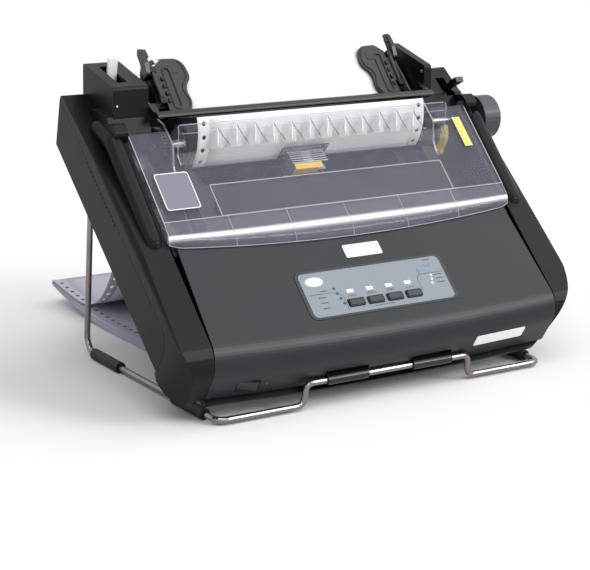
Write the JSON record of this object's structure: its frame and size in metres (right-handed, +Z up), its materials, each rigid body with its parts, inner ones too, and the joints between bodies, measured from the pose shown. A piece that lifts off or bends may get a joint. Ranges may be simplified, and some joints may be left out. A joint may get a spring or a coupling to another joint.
{
  "type": "dot matrix printer",
  "caption": "Desktop dot matrix printer on a wire stand, with a hinged clear cover, platen knob, tractor feed and fanfold paper.",
  "frame": {"origin": "middle of the overall box, on the desk that the stand rests on", "axes": "+Z up, +Y to the rear, +X to the right seen from the front"},
  "size_m": [0.453, 0.4606, 0.3008],
  "materials": {
    "wire_stand": "polished",
    "stand_sleeves": "matt",
    "wire_clips": "smooth",
    "lower_case": "fine grained",
    "upper_case": "fine grained",
    "front_panel": "fine grained",
    "tear_bar": "smooth",
    "control_bezel": "smooth",
    "control_overlay": "printed film",
    "key": "moulded",
    "status_lamps": "clear",
    "name_plates": "smooth",
    "power_rocker": "smooth",
    "access_cover": "clear smoked plastic",
    "cover_labels": "printed film",
    "zinc": "zinc plated",
    "steel": "ground",
    "rubber": "matt",
    "knob": "moulded",
    "gear": "moulded",
    "clearbush": "moulded",
    "motor": "satin",
    "brass": "plain",
    "black": "moulded",
    "alu": "blackened",
    "yellow": "smooth",
    "ribbon": "woven",
    "white": "moulded",
    "board": "lacquered",
    "paper": "plain paper",
    "stack": "printed paper"
  },
  "bodies": {
    "printer": {"wire_stand": "wire_stand", "stand_sleeves": "stand_sleeves", "wire_clips": "wire_clips", "lower_case": "lower_case", "upper_case": "upper_case", "front_panel": "front_panel", "tear_bar": "tear_bar", "control_bezel": "control_bezel", "control_overlay": "control_overlay", "status_lamps": "status_lamps", "name_plates": "name_plates", "frame_left": "zinc", "frame_right": "zinc", "platen_bushes": "clearbush", "feed_motor": "motor", "tractor_support_shaft": "steel", "guide_shaft": "steel", "carriage_rail": "zinc", "ribbon_cassette": "black", "ink_ribbon": "ribbon", "carriage_belt": "rubber", "belt_motor": "motor", "main_board": "board", "power_supply": "motor", "rear_sockets": "black", "case_screws": "zinc", "paper_web": "paper", "paper_stack": "stack"},
    "cover": {"access_cover": "access_cover", "cover_labels": "cover_labels"},
    "platen": {"platen_core": "steel", "platen_rubber": "rubber", "platen_knob": "knob", "platen_gear": "gear"},
    "idler_1": {"idler_gear_1": "gear"},
    "idler_2": {"idler_gear_2": "gear"},
    "motor_pinion": {"feed_pinion": "brass"},
    "tractor_shaft": {"tractor_drive_shaft": "steel"},
    "tractor_left_body": {"tractor_left": "black"},
    "tractor_right_body": {"tractor_right": "black"},
    "pin_wheel_left_body": {"pin_wheel_left": "black"},
    "pin_wheel_right_body": {"pin_wheel_right": "black"},
    "flap_left_body": {"flap_left": "black"},
    "flap_right_body": {"flap_right": "black"},
    "lock_lever_left_body": {"lock_lever_left": "black"},
    "lock_lever_right_body": {"lock_lever_right": "black"},
    "carriage_body": {"carriage": "black", "print_head": "alu", "head_tag": "yellow"},
    "drive_pulley_body": {"drive_pulley": "gear"},
    "belt_idler_body": {"belt_idler": "gear"},
    "ribbon_knob_body": {"ribbon_knob": "black"},
    "release_lever_body": {"release_lever": "black"},
    "select_lever_body": {"select_lever": "white"},
    "gap_lever_body": {"gap_lever": "yellow"},
    "key_1_body": {"key_1": "key"},
    "key_2_body": {"key_2": "key"},
    "key_3_body": {"key_3": "key"},
    "key_4_body": {"key_4": "key"},
    "power_rocker_body": {"power_rocker": "power_rocker"}
  },
  "joints": [
    {"name": "cover_hinge", "type": "hinge", "parent": "printer", "child": "cover", "pos_m": [-0.0075, -0.0692, 0.23597], "axis": [-1, 0, 0], "range_deg": [0, 70]},
    {"name": "platen_turn", "type": "hinge", "parent": "printer", "child": "platen", "pos_m": [-0.0075, -0.05617, 0.21746], "axis": [1, 0, 0], "continuous": true},
    {"name": "idler_1_turn", "type": "hinge", "parent": "printer", "child": "idler_1", "pos_m": [-0.0075, -0.03071, 0.21902], "axis": [1, 0, 0], "continuous": true},
    {"name": "idler_2_turn", "type": "hinge", "parent": "printer", "child": "idler_2", "pos_m": [-0.0075, -0.02393, 0.2324], "axis": [1, 0, 0], "continuous": true},
    {"name": "pinion_turn", "type": "hinge", "parent": "printer", "child": "motor_pinion", "pos_m": [-0.0075, -0.041, 0.19696], "axis": [1, 0, 0], "continuous": true},
    {"name": "tractor_shaft_turn", "type": "hinge", "parent": "printer", "child": "tractor_shaft", "pos_m": [-0.0075, -0.02341, 0.24789], "axis": [1, 0, 0], "continuous": true},
    {"name": "tractor_left_slide", "type": "slide", "parent": "printer", "child": "tractor_left_body", "axis": [-1, 0, 0], "range_m": [-0.004, 0.0025]},
    {"name": "pin_wheel_left_turn", "type": "hinge", "parent": "tractor_left_body", "child": "pin_wheel_left_body", "pos_m": [-0.0075, -0.02341, 0.24789], "axis": [1, 0, 0], "continuous": true},
    {"name": "flap_left_hinge", "type": "hinge", "parent": "tractor_left_body", "child": "flap_left_body", "pos_m": [-0.1425, -0.04214, 0.25197], "axis": [0, -0.6468, -0.7627], "range_deg": [0, 90]},
    {"name": "lock_lever_left_hinge", "type": "hinge", "parent": "tractor_left_body", "child": "lock_lever_left_body", "pos_m": [-0.1475, -0.01177, 0.27604], "axis": [1, 0, 0], "range_deg": [0, 35]},
    {"name": "tractor_right_slide", "type": "slide", "parent": "printer", "child": "tractor_right_body", "axis": [1, 0, 0], "range_m": [-0.004, 0.0025]},
    {"name": "pin_wheel_right_turn", "type": "hinge", "parent": "tractor_right_body", "child": "pin_wheel_right_body", "pos_m": [-0.0075, -0.02341, 0.24789], "axis": [1, 0, 0], "continuous": true},
    {"name": "flap_right_hinge", "type": "hinge", "parent": "tractor_right_body", "child": "flap_right_body", "pos_m": [0.1275, -0.04214, 0.25197], "axis": [0, 0.6468, 0.7627], "range_deg": [0, 90]},
    {"name": "lock_lever_right_hinge", "type": "hinge", "parent": "tractor_right_body", "child": "lock_lever_right_body", "pos_m": [0.1325, -0.01177, 0.27604], "axis": [1, 0, 0], "range_deg": [0, 35]},
    {"name": "carriage_slide", "type": "slide", "parent": "printer", "child": "carriage_body", "axis": [1, 0, 0], "range_m": [-0.087, 0.109]},
    {"name": "drive_pulley_turn", "type": "hinge", "parent": "printer", "child": "drive_pulley_body", "pos_m": [0.1205, -0.09595, 0.14622], "axis": [0, -0.6626, 0.749], "continuous": true},
    {"name": "belt_idler_turn", "type": "hinge", "parent": "printer", "child": "belt_idler_body", "pos_m": [-0.1355, -0.09595, 0.14622], "axis": [0, -0.6626, 0.749], "continuous": true},
    {"name": "ribbon_knob_turn", "type": "hinge", "parent": "printer", "child": "ribbon_knob_body", "pos_m": [-0.1245, -0.12015, 0.16753], "axis": [0, -0.6626, 0.749], "continuous": true},
    {"name": "release_lever_hinge", "type": "hinge", "parent": "printer", "child": "release_lever_body", "pos_m": [0.1805, -0.03269, 0.24224], "axis": [1, 0, 0], "range_deg": [-26, 4]},
    {"name": "select_lever_hinge", "type": "hinge", "parent": "printer", "child": "select_lever_body", "pos_m": [-0.1875, -0.01886, 0.25981], "axis": [1, 0, 0], "range_deg": [-20, 33]},
    {"name": "gap_lever_hinge", "type": "hinge", "parent": "printer", "child": "gap_lever_body", "pos_m": [0.1575, -0.06495, 0.18966], "axis": [1, 0, 0], "range_deg": [-4, 8]},
    {"name": "key_1_press", "type": "slide", "parent": "printer", "child": "key_1_body", "axis": [0, 0.6989, -0.7152], "range_m": [0, 0.001], "stiffness_N_per_m": 300},
    {"name": "key_2_press", "type": "slide", "parent": "printer", "child": "key_2_body", "axis": [0, 0.6989, -0.7152], "range_m": [0, 0.001], "stiffness_N_per_m": 300},
    {"name": "key_3_press", "type": "slide", "parent": "printer", "child": "key_3_body", "axis": [0, 0.6989, -0.7152], "range_m": [0, 0.001], "stiffness_N_per_m": 300},
    {"name": "key_4_press", "type": "slide", "parent": "printer", "child": "key_4_body", "axis": [0, 0.6989, -0.7152], "range_m": [0, 0.001], "stiffness_N_per_m": 300},
    {"name": "power_rocker_hinge", "type": "hinge", "parent": "printer", "child": "power_rocker_body", "pos_m": [-0.15729, -0.21227, 0.03487], "axis": [0, -0.5495, 0.8355], "range_deg": [0, 14]}
  ],
  "couplings": [
    {"joint": "idler_1_turn", "follows": "platen_turn", "ratio": -2.4},
    {"joint": "idler_2_turn", "follows": "platen_turn", "ratio": 2.4},
    {"joint": "pinion_turn", "follows": "platen_turn", "ratio": -2.4},
    {"joint": "tractor_shaft_turn", "follows": "platen_turn", "ratio": -2.25},
    {"joint": "pin_wheel_left_turn", "follows": "platen_turn", "ratio": -2.25},
    {"joint": "pin_wheel_right_turn", "follows": "platen_turn", "ratio": -2.25},
    {"joint": "drive_pulley_turn", "follows": "carriage_slide", "rad_per_m": 151.52},
    {"joint": "belt_idler_turn", "follows": "carriage_slide", "rad_per_m": 151.52}
  ]
}
